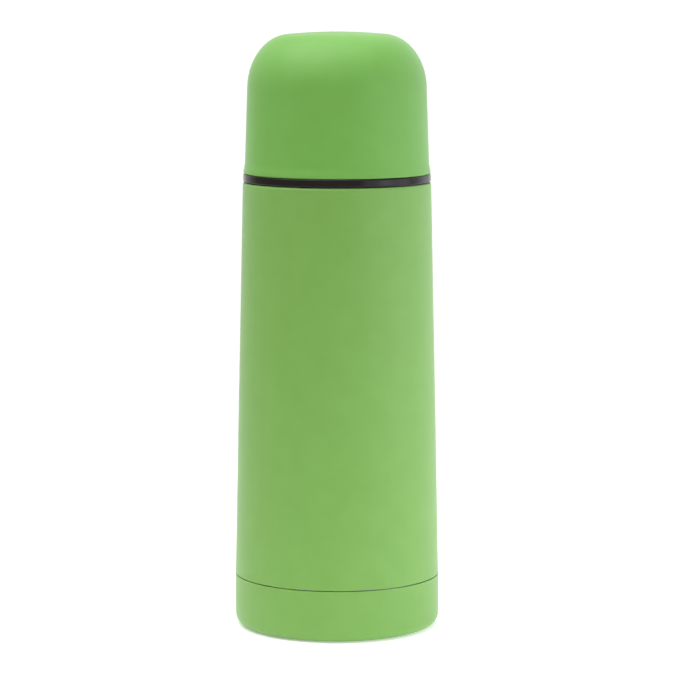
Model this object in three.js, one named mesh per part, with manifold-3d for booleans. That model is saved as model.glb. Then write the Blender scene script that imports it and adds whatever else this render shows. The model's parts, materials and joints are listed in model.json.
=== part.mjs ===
// Vacuum flask with a screw-on drinking cup and a push-button stopper.
// Millimetres, +Z up. The origin is the centre of the foot, on the surface that the flask stands on.
//
// Two steel walls with a vacuum between them make the body. A moulded collar on the steel neck
// carries the cup's thread, and the neck's own rolled thread holds the stopper. The stopper is a
// hollow plug: its button pushes a poppet down off the valve port, and two squeeze tabs with hooks
// hold the button down and let it up again.

import * as THREE from 'three'
import { mergeVertices } from 'three/addons/utils/BufferGeometryUtils.js'
import Module from 'manifold-3d'

const wasm = await Module()
wasm.setup()

// ---- driving dimensions ----------------------------------------------------------------------

const HEIGHT = 200
const BASE_RADIUS = 34.45
const BASE_CORNER = 3.75
const SEAM_HEIGHT = 17.45
const SEAM_GAP = 0.3
const BODY_FOOT_RADIUS = 34.4
const BODY_TOP_RADIUS = 31.55
const BODY_TOP = 150
const COLLAR_RADIUS = 31.45
const CUP_BOTTOM = 152.9
const CUP_RIM_RADIUS = 31.3
const CUP_WAIST_RADIUS = 30.8
const CUP_WAIST = 156
const CUP_DOME_RADIUS = 29.97
const CUP_DOME_START = 181.1
const CUP_CORNER_WIDTH = 14.6
const CUP_CROWN = 0.7

const SHELL_WALL = 0.6
const LINER_WALL = 0.5
const CUP_WALL = 0.5
const VACUUM_GAP = 2.6
const FIT = 0.2 // clearance between pieces that rest on each other
const RIM_LEVEL = 165.2 // top of the steel mouth
const SHOULDER_START = 141

// Both threads are right-handed with two starts and one lead, so the cup can ride on the stopper.
const THREAD_LEAD = 8
const THREAD_STARTS = 2
const THREAD_TURNS = 0.75
const RIDGE_ROOT_HEIGHT = 1.4
const RIDGE_CREST_HEIGHT = 0.8
const RIDGE_FADE = 0.12 // share of a ridge's length over which each end fades in
const RIDGE_EMBED = 0.3 // how far a ridge's root sits inside its wall

const NECK_BORE = 23.2
const NECK_WALL = 0.6
const NECK_CREST = 22.2
const LEDGE_BORE = 20.9
const LEDGE_LEVEL = 152.3
const NECK_THREAD_START = 155.4

const COLLAR_BORE = 25.7
const COLLAR_SLEEVE = 27
const COLLAR_CREST = 28.2
const COLLAR_TOP = 163
const CUP_THREAD_BORE = 28.6
const CUP_THREAD_CREST = 27.4
const CUP_THREAD_START = 155.2

const PLUG_RADIUS = 21.8
const PLUG_CREST = 22.8
const PLUG_NOSE = 20.3
const PLUG_BOTTOM = 145.6
const PLUG_TOP = 166
const FLOW_BORE = 9
const PORT_RADIUS = 7.5
const CAP_RADIUS = 24.6
const CAP_BOTTOM = 165.6
const CAP_FLOOR = 166.2
const CAP_TOP = 178.8
const CAP_WALL = 1.6
const BUTTON_RADIUS = 10.8
const BUTTON_TOP = 182
const STEM_RADIUS = 2.2
const LATCH_RADIUS = 3.4 // the stem's shoulder that the hooks catch when the button is down
const LATCH_LEVEL = 173.6
const TAB_LEVEL = 169.8
const TAB_THICKNESS = 1.6
const TAB_REACH = 26.2 // radius of the tabs' finger faces at rest

const ROUND_SIDES = 32 // sides of the large round pieces
const FINE_SIDES = 24 // sides of the small round pieces

// ---- materials -------------------------------------------------------------------------------

function material(color, roughness, metalness = 0) {
  return new THREE.MeshStandardMaterial({ color, roughness, metalness })
}

const greenPaint = material(0x7ab554, 0.55)
const steel = material(0xb9bbbc, 0.3, 1)
const foilMetal = material(0xb87a52, 0.35, 1)
const blackPlastic = material(0x242321, 0.45)
const greyPlastic = material(0x4a4b49, 0.5)
const silicone = material(0xe3e2dc, 0.7)
const foam = material(0xefece4, 0.95)
const getterMetal = material(0x6f7072, 0.7, 0.6)

// ---- helpers ---------------------------------------------------------------------------------

// Leaves out triangles that have collapsed on an axis, and turns all faces outwards.
function outward(geometry) {
  const merged = mergeVertices(withPositionsOnly(geometry), 1e-4)
  const point = merged.attributes.position
  const kept = []
  let volume = 0
  const a = new THREE.Vector3()
  const b = new THREE.Vector3()
  const c = new THREE.Vector3()
  for (let i = 0; i < merged.index.count; i += 3) {
    const corners = [0, 1, 2].map((step) => merged.index.getX(i + step))
    if (new Set(corners).size < 3) continue
    a.fromBufferAttribute(point, corners[0])
    b.fromBufferAttribute(point, corners[1])
    c.fromBufferAttribute(point, corners[2])
    volume += a.dot(b.cross(c))
    kept.push(corners)
  }
  const ordered = volume > 0 ? kept : kept.map(([first, second, third]) => [first, third, second])
  merged.setIndex(ordered.flat())
  return merged
}

function withPositionsOnly(geometry) {
  const plain = new THREE.BufferGeometry()
  plain.setAttribute('position', geometry.attributes.position.clone())
  plain.setIndex(geometry.index ? geometry.index.clone() : null)
  return plain
}

function toSolid(geometry) {
  const closed = outward(geometry)
  const vertProperties = new Float32Array(closed.attributes.position.array)
  const triVerts = new Uint32Array(closed.index.array)
  return new wasm.Manifold(new wasm.Mesh({ numProp: 3, vertProperties, triVerts }))
}

function toGeometry(solid) {
  const { vertProperties, triVerts } = solid.getMesh()
  const geometry = new THREE.BufferGeometry()
  geometry.setAttribute('position', new THREE.BufferAttribute(vertProperties, 3))
  geometry.setIndex(new THREE.BufferAttribute(triVerts, 1))
  return geometry
}

function join(first, ...others) {
  return toGeometry(others.reduce((solid, other) => solid.add(toSolid(other)), toSolid(first)))
}

function cut(first, ...others) {
  return toGeometry(others.reduce((solid, other) => solid.subtract(toSolid(other)), toSolid(first)))
}

// A solid of revolution about Z. The outline lists [radius, height] once round, or from axis to axis.
function turned(outline, sides = ROUND_SIDES) {
  const points = outline.map(([radius, height]) => new THREE.Vector2(radius, height))
  const onAxis = outline[0][0] === 0 && outline[outline.length - 1][0] === 0
  if (!onAxis) points.push(points[0].clone())
  return outward(new THREE.LatheGeometry(points, sides).rotateX(Math.PI / 2))
}

// Points on an elliptical arc from one angle to another, in degrees, both ends included.
function arc(centreRadius, centreHeight, width, height, from, to, steps) {
  return Array.from({ length: steps + 1 }, (_, i) => {
    const angle = THREE.MathUtils.degToRad(from + ((to - from) * i) / steps)
    return [centreRadius + width * Math.cos(angle), centreHeight + height * Math.sin(angle)]
  })
}

function block(width, depth, height, x, y, z) {
  return new THREE.BoxGeometry(width, depth, height).translate(x, y, z)
}

// A thread ridge: a long block wound round the axis, whose crest fades into the wall at both ends.
function ridge(wall, crest, startLevel, startAngle) {
  const side = Math.sign(crest - wall)
  const root = wall - side * RIDGE_EMBED
  const long = new THREE.BoxGeometry(1, 1, 1, 1, Math.round(THREAD_TURNS * ROUND_SIDES), 1)
  const point = long.attributes.position
  for (let i = 0; i < point.count; i += 1) {
    const outwardShare = point.getX(i) + 0.5
    const along = point.getY(i) + 0.5
    const fade = Math.min(1, along / RIDGE_FADE, (1 - along) / RIDGE_FADE)
    const tip = wall + (crest - wall) * fade
    const radius = root + (tip - root) * outwardShare
    const angle = startAngle + along * THREAD_TURNS * 2 * Math.PI
    const thickness = THREE.MathUtils.lerp(RIDGE_ROOT_HEIGHT, RIDGE_CREST_HEIGHT, outwardShare)
    const level = startLevel + along * THREAD_TURNS * THREAD_LEAD + point.getZ(i) * thickness
    point.setXYZ(i, radius * Math.cos(angle), radius * Math.sin(angle), level)
  }
  return long
}

// All starts of a thread. The female ridges sit a quarter turn behind the male ones, which puts
// them half a pitch away.
function threadRidges(wall, crest, startLevel) {
  const female = crest < wall
  return Array.from({ length: THREAD_STARTS }, (_, start) => {
    const angle = (start / THREAD_STARTS) * 2 * Math.PI - (female ? Math.PI / 2 : 0)
    return ridge(wall, crest, startLevel, angle)
  })
}

class Helix extends THREE.Curve {
  constructor(radius, height, turns) {
    super()
    this.radius = radius
    this.height = height
    this.turns = turns
  }

  getPoint(share, target = new THREE.Vector3()) {
    const angle = share * this.turns * 2 * Math.PI
    return target.set(this.radius * Math.cos(angle), this.radius * Math.sin(angle), share * this.height)
  }
}

// A coil spring standing on z = 0, its length measured over the wire.
function coilSpring(radius, wire, length, turns, stepsPerTurn, wireSides) {
  const section = new THREE.Shape(
    Array.from({ length: wireSides }, (_, i) => {
      const angle = (i / wireSides) * 2 * Math.PI
      return new THREE.Vector2(wire * Math.cos(angle), wire * Math.sin(angle))
    }),
  )
  const path = new Helix(radius, length - 2 * wire, turns)
  const options = { steps: turns * stepsPerTurn, bevelEnabled: false, extrudePath: path }
  return new THREE.ExtrudeGeometry(section, options).translate(0, 0, wire)
}

// ---- the body's walls ------------------------------------------------------------------------

// Outer radius of the tapered body at a height.
function bodyRadius(height) {
  const share = (height - SEAM_HEIGHT) / (BODY_TOP - SEAM_HEIGHT)
  return THREE.MathUtils.lerp(BODY_FOOT_RADIUS, BODY_TOP_RADIUS, share)
}

// Outer radius of the inner bottle at a height.
function linerRadius(height) {
  return bodyRadius(height) - SHELL_WALL - VACUUM_GAP
}

const SPIGOT_GAP = 0.3
const SPIGOT_RADIUS = BASE_RADIUS - SHELL_WALL - SPIGOT_GAP
const SPIGOT_BOTTOM = 6
const FOOT_INNER_RADIUS = 23.6
const FOOT_RECESS = 1
const FOOT_SLOPE = 0.3 // how much further in the foot's inner face starts than its outer face

function baseCover() {
  const top = SEAM_HEIGHT - SEAM_GAP / 2
  const cornerCentre = BASE_RADIUS - BASE_CORNER
  const innerCorner = BASE_CORNER - SHELL_WALL
  return turned([
    [0, FOOT_RECESS],
    [FOOT_INNER_RADIUS - FOOT_RECESS, FOOT_RECESS],
    [FOOT_INNER_RADIUS, 0],
    ...arc(cornerCentre, BASE_CORNER, BASE_CORNER, BASE_CORNER, -90, 0, 4),
    [BASE_RADIUS, top],
    [BASE_RADIUS - SHELL_WALL, top],
    ...arc(cornerCentre, BASE_CORNER, innerCorner, innerCorner, 0, -90, 3),
    [FOOT_INNER_RADIUS + FOOT_SLOPE, SHELL_WALL],
    [FOOT_INNER_RADIUS + FOOT_SLOPE - FOOT_RECESS, FOOT_RECESS + SHELL_WALL],
    [0, FOOT_RECESS + SHELL_WALL],
  ])
}

const NECK_SHELL_RADIUS = 25.4
const NECK_SHELL_TOP = 164.3
const BODY_EDGE = 0.8

function outerShell() {
  const bottom = SEAM_HEIGHT + SEAM_GAP / 2
  const edgeCentre = BODY_TOP_RADIUS - BODY_EDGE
  return turned([
    [SPIGOT_RADIUS - SHELL_WALL, SPIGOT_BOTTOM],
    [SPIGOT_RADIUS, SPIGOT_BOTTOM],
    [SPIGOT_RADIUS, bottom],
    [bodyRadius(bottom), bottom],
    ...arc(edgeCentre, BODY_TOP - BODY_EDGE, BODY_EDGE, BODY_EDGE, 0, 90, 2),
    [NECK_SHELL_RADIUS, BODY_TOP],
    [NECK_SHELL_RADIUS, NECK_SHELL_TOP],
    [NECK_SHELL_RADIUS - SHELL_WALL, NECK_SHELL_TOP],
    [NECK_SHELL_RADIUS - SHELL_WALL, BODY_TOP - SHELL_WALL],
    [edgeCentre, BODY_TOP - SHELL_WALL],
    [BODY_TOP_RADIUS - SHELL_WALL, BODY_TOP - BODY_EDGE],
    [bodyRadius(bottom) - SHELL_WALL, bottom + SHELL_WALL],
    [SPIGOT_RADIUS - SHELL_WALL, bottom],
  ])
}

const LINER_BOTTOM = 13
const LINER_FLARE = 17.5 // the taper starts above this height
const LIP_RADIUS = 26
const LIP_HEIGHT = 0.7
const SHOULDER_HEIGHT = 6
const MOUTH_BEVEL = 0.3

function innerLiner() {
  const widest = linerRadius(LINER_FLARE)
  const shoulder = linerRadius(SHOULDER_START)
  const throat = LEDGE_BORE + LINER_WALL
  const outerRun = shoulder - throat
  const innerRise = SHOULDER_HEIGHT - LINER_WALL
  const bottle = turned([
    [widest - LINER_WALL, LINER_BOTTOM],
    [widest, LINER_BOTTOM],
    [widest, LINER_FLARE],
    ...arc(throat, SHOULDER_START, outerRun, SHOULDER_HEIGHT, 0, 90, 4),
    [throat, LEDGE_LEVEL - LINER_WALL],
    [NECK_BORE, LEDGE_LEVEL - LINER_WALL],
    [NECK_BORE + NECK_WALL, LEDGE_LEVEL],
    [NECK_BORE + NECK_WALL, RIM_LEVEL - LIP_HEIGHT],
    [LIP_RADIUS, RIM_LEVEL - LIP_HEIGHT],
    [LIP_RADIUS, RIM_LEVEL],
    [NECK_BORE + MOUTH_BEVEL, RIM_LEVEL],
    [NECK_BORE, RIM_LEVEL - MOUTH_BEVEL],
    [NECK_BORE, LEDGE_LEVEL + LINER_WALL],
    [NECK_BORE - LINER_WALL, LEDGE_LEVEL],
    [LEDGE_BORE, LEDGE_LEVEL],
    ...arc(LEDGE_BORE, SHOULDER_START, outerRun, innerRise, 90, 0, 4),
    [widest - LINER_WALL, LINER_FLARE],
  ])
  return join(bottle, ...threadRidges(NECK_BORE, NECK_CREST, NECK_THREAD_START))
}

const DISH_TOP = 16.2
const DISH_DIP = 0.4 // how far the middle of the dish lies below its rim
const DISH_FLAT = 12

function linerBottom() {
  const skirt = linerRadius(LINER_FLARE) - LINER_WALL - FIT
  const bend = 1
  const innerBend = 1.2
  return turned([
    [skirt - LINER_WALL, LINER_BOTTOM + FIT],
    [skirt, LINER_BOTTOM + FIT],
    [skirt, DISH_TOP - bend],
    [skirt - bend, DISH_TOP],
    [DISH_FLAT, DISH_TOP - 0.75 * DISH_DIP],
    [0, DISH_TOP - DISH_DIP],
    [0, DISH_TOP - DISH_DIP - LINER_WALL],
    [DISH_FLAT, DISH_TOP - 0.75 * DISH_DIP - LINER_WALL],
    [skirt - innerBend, DISH_TOP - LINER_WALL],
    [skirt - LINER_WALL, DISH_TOP - innerBend],
  ])
}

const FOIL_BOTTOM = 19
const FOIL_TOP = 138
const FOIL_THICKNESS = 0.3

function reflectiveFoil() {
  return turned([
    [linerRadius(FOIL_BOTTOM) + FIT, FOIL_BOTTOM],
    [linerRadius(FOIL_BOTTOM) + FIT + FOIL_THICKNESS, FOIL_BOTTOM],
    [linerRadius(FOIL_TOP) + FIT + FOIL_THICKNESS, FOIL_TOP],
    [linerRadius(FOIL_TOP) + FIT, FOIL_TOP],
  ])
}

const PLATE_LEVEL = 9.2 // underside of the plate that closes the vacuum
const PLATE_WALL = 0.6
const PLATE_SKIRT = 0.8 // the bend from the plate down into its skirt
const EVACUATION_RADIUS = 1.5

function middleBottom() {
  const rim = SPIGOT_RADIUS - SHELL_WALL - FIT
  return turned([
    [EVACUATION_RADIUS, PLATE_LEVEL],
    [rim - PLATE_WALL - PLATE_SKIRT, PLATE_LEVEL],
    [rim - PLATE_WALL, PLATE_LEVEL - PLATE_SKIRT],
    [rim - PLATE_WALL, SPIGOT_BOTTOM],
    [rim, SPIGOT_BOTTOM],
    [rim, PLATE_LEVEL - PLATE_SKIRT / 2],
    [rim - 1.5 * PLATE_SKIRT, PLATE_LEVEL + PLATE_WALL],
    [EVACUATION_RADIUS, PLATE_LEVEL + PLATE_WALL],
  ])
}

const BEAD_RADIUS = 3
const BEAD_DOME_RADIUS = 2.2

function vacuumPlug() {
  const stem = EVACUATION_RADIUS - FIT
  return turned(
    [
      [0, PLATE_LEVEL - 1.4],
      [BEAD_DOME_RADIUS, PLATE_LEVEL - 1.2],
      [BEAD_RADIUS, PLATE_LEVEL - FIT - 0.4],
      [BEAD_RADIUS, PLATE_LEVEL - FIT],
      [stem, PLATE_LEVEL - FIT],
      [stem, PLATE_LEVEL + PLATE_WALL],
      [0, PLATE_LEVEL + PLATE_WALL + FIT],
    ],
    16,
  )
}

const GETTER_X = 13
const GETTER_RADIUS = 3.5
const GETTER_BOTTOM = 10.7
const GETTER_HEIGHT = 1.6

function getter() {
  const pill = new THREE.CylinderGeometry(GETTER_RADIUS, GETTER_RADIUS, GETTER_HEIGHT, 16)
  return pill.rotateX(Math.PI / 2).translate(GETTER_X, 0, GETTER_BOTTOM + GETTER_HEIGHT / 2)
}

// A strip of spring steel bent up round the getter on both sides.
function getterClip() {
  const thickness = 0.4
  const width = 5
  const lip = 1.6
  const bottom = PLATE_LEVEL + PLATE_WALL + FIT
  const top = GETTER_BOTTOM + GETTER_HEIGHT + FIT + thickness
  const reach = GETTER_RADIUS + FIT + thickness
  const outline = [
    [-reach, bottom],
    [reach, bottom],
    [reach, top],
    [reach - lip, top],
    [reach - lip, top - thickness],
    [reach - thickness, top - thickness],
    [reach - thickness, bottom + thickness],
    [-reach + thickness, bottom + thickness],
    [-reach + thickness, top - thickness],
    [-reach + lip, top - thickness],
    [-reach + lip, top],
    [-reach, top],
  ]
  const shape = new THREE.Shape(outline.map(([x, z]) => new THREE.Vector2(x, z)))
  const strip = new THREE.ExtrudeGeometry(shape, { depth: width, bevelEnabled: false })
  return strip.rotateX(Math.PI / 2).translate(GETTER_X, width / 2, 0)
}

function neckCollar() {
  const bottom = BODY_TOP + FIT
  const top = CUP_BOTTOM - 0.1
  const edge = 0.4
  const ring = turned([
    [COLLAR_BORE, bottom],
    [COLLAR_RADIUS - edge, bottom],
    [COLLAR_RADIUS, bottom + edge],
    [COLLAR_RADIUS, top - edge],
    [COLLAR_RADIUS - edge, top],
    [COLLAR_SLEEVE, top],
    [COLLAR_SLEEVE, COLLAR_TOP],
    [COLLAR_BORE, COLLAR_TOP],
  ])
  return join(ring, ...threadRidges(COLLAR_SLEEVE, COLLAR_CREST, CUP_THREAD_START))
}

// ---- the cup ---------------------------------------------------------------------------------

function cupShell() {
  const rimEdge = 0.3
  const cornerCentre = CUP_DOME_RADIUS - CUP_CORNER_WIDTH
  const cornerHeight = HEIGHT - CUP_CROWN - CUP_DOME_START
  const crownShare = 0.5
  const crownHalf = HEIGHT - CUP_CROWN * crownShare ** 2
  return turned([
    [CUP_RIM_RADIUS - CUP_WALL, CUP_BOTTOM],
    [CUP_RIM_RADIUS - rimEdge / 2, CUP_BOTTOM],
    [CUP_RIM_RADIUS, CUP_BOTTOM + rimEdge],
    [CUP_WAIST_RADIUS, CUP_WAIST],
    ...arc(cornerCentre, CUP_DOME_START, CUP_CORNER_WIDTH, cornerHeight, 0, 90, 6),
    [cornerCentre * crownShare, crownHalf],
    [0, HEIGHT],
    [0, HEIGHT - CUP_WALL],
    [cornerCentre * crownShare, crownHalf - CUP_WALL],
    ...arc(cornerCentre, CUP_DOME_START, CUP_CORNER_WIDTH - CUP_WALL, cornerHeight - CUP_WALL, 90, 0, 6),
    [CUP_WAIST_RADIUS - CUP_WALL, CUP_WAIST],
  ])
}

const CUP_LINER_WALL = 1.4
const CUP_LINER_BOTTOM = 153.3
const CUP_LINER_SLEEVE = 29.8
const CUP_LEDGE = 164.4 // the seal ring seats under this step
const CUP_LINER_FOOT = 27.7
const CUP_LINER_HEAD = 27
const CUP_LINER_CORNER = 181.5
const CUP_CEILING = 195.5
const CUP_LINER_CORNER_WIDTH = 13

function cupLiner() {
  const cornerCentre = CUP_LINER_HEAD - CUP_LINER_CORNER_WIDTH
  const rise = CUP_CEILING - CUP_LINER_CORNER
  const width = CUP_LINER_CORNER_WIDTH
  const wall = CUP_LINER_WALL
  const lining = turned([
    [CUP_THREAD_BORE, CUP_LINER_BOTTOM],
    [CUP_LINER_SLEEVE, CUP_LINER_BOTTOM],
    [CUP_LINER_SLEEVE, CUP_LEDGE],
    [CUP_LINER_FOOT + wall, CUP_LEDGE + wall],
    ...arc(cornerCentre, CUP_LINER_CORNER, width + wall, rise + wall, 0, 90, 4),
    [0, CUP_CEILING + wall],
    [0, CUP_CEILING],
    ...arc(cornerCentre, CUP_LINER_CORNER, width, rise, 90, 0, 4),
    [CUP_LINER_FOOT, CUP_LEDGE],
    [CUP_THREAD_BORE, CUP_LEDGE],
  ])
  return join(lining, ...threadRidges(CUP_THREAD_BORE, CUP_THREAD_CREST, CUP_THREAD_START))
}

const SEAL_RING_BORE = 26.6

function cupSealRing() {
  const outer = CUP_THREAD_BORE - 0.4
  return turned([
    [SEAL_RING_BORE, COLLAR_TOP + FIT],
    [outer, COLLAR_TOP + FIT],
    [outer, CUP_LEDGE - FIT],
    [SEAL_RING_BORE, CUP_LEDGE - FIT],
  ])
}

// ---- the stopper -----------------------------------------------------------------------------

const PLUG_FLANGE = 153.9
const PLUG_INSIDE = 19
const PLUG_FLOOR = 148.2
const FLOW_WALL = 1.5

function stopperBody() {
  const flowOuter = FLOW_BORE + FLOW_WALL
  const plug = turned([
    [PORT_RADIUS, PLUG_BOTTOM],
    [PLUG_NOSE, PLUG_BOTTOM],
    [PLUG_NOSE, PLUG_FLANGE],
    [PLUG_RADIUS, PLUG_FLANGE],
    [PLUG_RADIUS, PLUG_TOP],
    [PLUG_INSIDE, PLUG_TOP],
    [PLUG_INSIDE, PLUG_FLOOR],
    [flowOuter, PLUG_FLOOR],
    [flowOuter, PLUG_TOP],
    [FLOW_BORE, PLUG_TOP],
    [FLOW_BORE, PLUG_FLOOR - FIT],
    [PORT_RADIUS, PLUG_FLOOR - 1],
  ])
  return join(plug, ...threadRidges(PLUG_RADIUS, PLUG_CREST, NECK_THREAD_START))
}

function stopperGasket() {
  return turned([
    [PLUG_NOSE + FIT, LEDGE_LEVEL + FIT],
    [NECK_CREST - 0.25, LEDGE_LEVEL + FIT],
    [NECK_CREST - 0.25, PLUG_FLANGE - FIT],
    [PLUG_NOSE + FIT, PLUG_FLANGE - FIT],
  ])
}

const CAP_SKIRT = PLUG_INSIDE - FIT
const CAP_SKIRT_WALL = 1.2
const CAP_SKIRT_BOTTOM = 160

const FOAM_GAP = 0.3

function stopperFoam() {
  const inner = FLOW_BORE + FLOW_WALL + FOAM_GAP
  const outer = PLUG_INSIDE - FOAM_GAP
  return turned(
    [
      [inner, PLUG_FLOOR + FOAM_GAP],
      [outer, PLUG_FLOOR + FOAM_GAP],
      [outer, CAP_SKIRT_BOTTOM - 0.4],
      [inner, CAP_SKIRT_BOTTOM - 0.4],
    ],
    FINE_SIDES,
  )
}

const CAP_PLATE = 1.2
const CAP_ROOF = 177.2
const BUTTON_HOLE = BUTTON_RADIUS + 0.3
const BOSS_WALL = 1.5
const BOSS_BOTTOM = 173.4
const WINDOW_BOTTOM = 168
const WINDOW_TOP = 174.8
const WINDOW_WIDTH = 12.4
const SPOUT_WIDTH = 13
const SPOUT_HEIGHT = 5
const VENT_WIDTH = 5
const FLUTE_COUNT = 20
const FLUTE_RADIUS = 1.5
const FLUTE_DEPTH = 0.5

// Slots right through the cap's wall: one for each tab, the pouring slot and the air vent.
function capSlots() {
  const across = 7
  const middle = CAP_RADIUS - CAP_WALL
  const tabHeight = WINDOW_TOP - WINDOW_BOTTOM
  const tabMiddle = (WINDOW_TOP + WINDOW_BOTTOM) / 2
  const pourMiddle = CAP_ROOF - SHELL_WALL - SPOUT_HEIGHT / 2
  return [
    block(across, WINDOW_WIDTH, tabHeight, -middle, 0, tabMiddle),
    block(across, WINDOW_WIDTH, tabHeight, middle, 0, tabMiddle),
    block(SPOUT_WIDTH, across, SPOUT_HEIGHT, 0, -middle, pourMiddle),
    block(VENT_WIDTH, across, SPOUT_HEIGHT, 0, middle, pourMiddle),
  ]
}

// Upright grip flutes all round, except where a tab or the pouring slot is.
function capFlutes() {
  const flutes = []
  const height = CAP_TOP - CAP_BOTTOM
  const reach = CAP_RADIUS + FLUTE_RADIUS - FLUTE_DEPTH
  for (let i = 0; i < FLUTE_COUNT; i += 1) {
    const angle = ((i + 0.5) / FLUTE_COUNT) * 2 * Math.PI
    const nearTab = Math.abs(Math.cos(angle)) > 0.9
    const nearSpout = Math.sin(angle) < -0.9
    if (nearTab || nearSpout) continue
    const bar = new THREE.CylinderGeometry(FLUTE_RADIUS, FLUTE_RADIUS, height, 8)
    bar.rotateX(Math.PI / 2)
    bar.translate(reach * Math.cos(angle), reach * Math.sin(angle), CAP_BOTTOM + 1 + height / 2)
    flutes.push(bar)
  }
  return flutes
}

const SPRING_POST_X = 17.5
const SPRING_POST_TOP = 173
const TAB_SPRING_Y = 3.6
const TAB_SPRING_LEVEL = 171.2
const TAB_SPRING_RADIUS = 1.3
const TAB_SPRING_WIRE = 0.3

// The posts that the tab springs push against, one for each tab.
function springPosts() {
  const thickness = 1.5
  const width = 3.8
  const bottom = CAP_FLOOR + CAP_PLATE / 2
  const height = SPRING_POST_TOP - bottom
  const x = SPRING_POST_X - thickness / 2
  const level = bottom + height / 2
  return [-1, 1].map((side) => block(thickness, width, height, side * x, side * TAB_SPRING_Y, level))
}

function stopperCap() {
  const inner = CAP_RADIUS - CAP_WALL
  const ring = turned([
    [CAP_SKIRT - CAP_SKIRT_WALL, CAP_SKIRT_BOTTOM],
    [CAP_SKIRT, CAP_SKIRT_BOTTOM],
    [CAP_SKIRT, CAP_FLOOR],
    [inner, CAP_FLOOR],
    [inner, CAP_BOTTOM],
    [CAP_RADIUS, CAP_BOTTOM],
    [CAP_RADIUS, CAP_TOP - 1],
    [CAP_RADIUS - 0.8, CAP_TOP],
    [BUTTON_HOLE, CAP_TOP],
    [BUTTON_HOLE, BOSS_BOTTOM],
    [BUTTON_HOLE + BOSS_WALL, BOSS_BOTTOM],
    [BUTTON_HOLE + BOSS_WALL, CAP_ROOF],
    [inner, CAP_ROOF],
    [inner, CAP_FLOOR + CAP_PLATE],
    [FLOW_BORE + 2 * FIT, CAP_FLOOR + CAP_PLATE],
    [FLOW_BORE + 2 * FIT, CAP_FLOOR],
    [CAP_SKIRT - CAP_SKIRT_WALL, CAP_FLOOR],
  ])
  return cut(join(ring, ...springPosts()), ...capSlots(), ...capFlutes())
}

const GUIDE_BOTTOM = 148.6
const GUIDE_TOP = 150.2
const GUIDE_SPOKES = 3
const SPOKE_WIDTH = 1.6

function stemGuide() {
  const outer = FLOW_BORE - FIT
  const rim = turned(
    [
      [outer - 1, GUIDE_BOTTOM],
      [outer, GUIDE_BOTTOM],
      [outer, GUIDE_TOP],
      [outer - 1, GUIDE_TOP],
    ],
    FINE_SIDES,
  )
  const hub = turned(
    [
      [STEM_RADIUS + 0.3, GUIDE_BOTTOM],
      [STEM_RADIUS + 1.5, GUIDE_BOTTOM],
      [STEM_RADIUS + 1.5, GUIDE_TOP],
      [STEM_RADIUS + 0.3, GUIDE_TOP],
    ],
    16,
  )
  const height = GUIDE_TOP - GUIDE_BOTTOM
  const spokes = Array.from({ length: GUIDE_SPOKES }, (_, i) => {
    const inner = STEM_RADIUS + 1
    const length = outer - 0.5 - inner
    const spoke = block(length, SPOKE_WIDTH, height, inner + length / 2, 0, GUIDE_BOTTOM + height / 2)
    return spoke.rotateZ((i / GUIDE_SPOKES) * 2 * Math.PI)
  })
  return join(rim, hub, ...spokes)
}

const RING_GROOVE_LOW = 177
const RING_GROOVE_HIGH = 178.6
const BUTTON_SKIRT = 175.8
const BUTTON_UNDERSIDE = 179.8
const BUTTON_DISH_RADIUS = 7.5
const BUTTON_CROWN_RADIUS = 9.6
const SOCKET_WALL_RADIUS = 4.2
const SOCKET_BOTTOM = 176

function pushButton() {
  const inner = BUTTON_RADIUS - 2.2
  const groove = BUTTON_RADIUS - 1.1
  const socket = STEM_RADIUS + FIT
  return turned(
    [
      [0, BUTTON_TOP - 0.5],
      [BUTTON_DISH_RADIUS, BUTTON_TOP - 0.3],
      [BUTTON_CROWN_RADIUS, BUTTON_TOP],
      [BUTTON_RADIUS, BUTTON_TOP - 0.8],
      [BUTTON_RADIUS, RING_GROOVE_HIGH],
      [groove, RING_GROOVE_HIGH],
      [groove, RING_GROOVE_LOW],
      [BUTTON_RADIUS, RING_GROOVE_LOW],
      [BUTTON_RADIUS, BUTTON_SKIRT],
      [inner, BUTTON_SKIRT],
      [inner, BUTTON_UNDERSIDE],
      [SOCKET_WALL_RADIUS, BUTTON_UNDERSIDE],
      [SOCKET_WALL_RADIUS, SOCKET_BOTTOM],
      [socket, SOCKET_BOTTOM],
      [socket, BUTTON_UNDERSIDE],
      [0, BUTTON_UNDERSIDE],
    ],
    FINE_SIDES,
  )
}

function buttonRing() {
  const section = 0.55
  const ring = new THREE.TorusGeometry(BUTTON_RADIUS - 0.42, section, 5, FINE_SIDES)
  return ring.translate(0, 0, (RING_GROOVE_LOW + RING_GROOVE_HIGH) / 2)
}

const STEM_BOTTOM = 144.2
const SPRING_FLANGE = 167.6
const SPRING_FLANGE_RADIUS = 6.2
const SPRING_FLANGE_HEIGHT = 1.2

function valveStem() {
  const flangeTop = SPRING_FLANGE + SPRING_FLANGE_HEIGHT
  return turned(
    [
      [0, STEM_BOTTOM],
      [STEM_RADIUS, STEM_BOTTOM],
      [STEM_RADIUS, SPRING_FLANGE],
      [SPRING_FLANGE_RADIUS, SPRING_FLANGE],
      [SPRING_FLANGE_RADIUS, flangeTop],
      [LATCH_RADIUS, flangeTop],
      [LATCH_RADIUS, LATCH_LEVEL],
      [STEM_RADIUS, LATCH_LEVEL],
      [STEM_RADIUS, BUTTON_UNDERSIDE - 0.4],
      [0, BUTTON_UNDERSIDE - 0.4],
    ],
    16,
  )
}

const VALVE_RADIUS = 9.6
const VALVE_TOP = 144.4
const VALVE_THICKNESS = 1.8
const VALVE_HUB_RADIUS = 4
const VALVE_HUB_HEIGHT = 2.2

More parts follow.
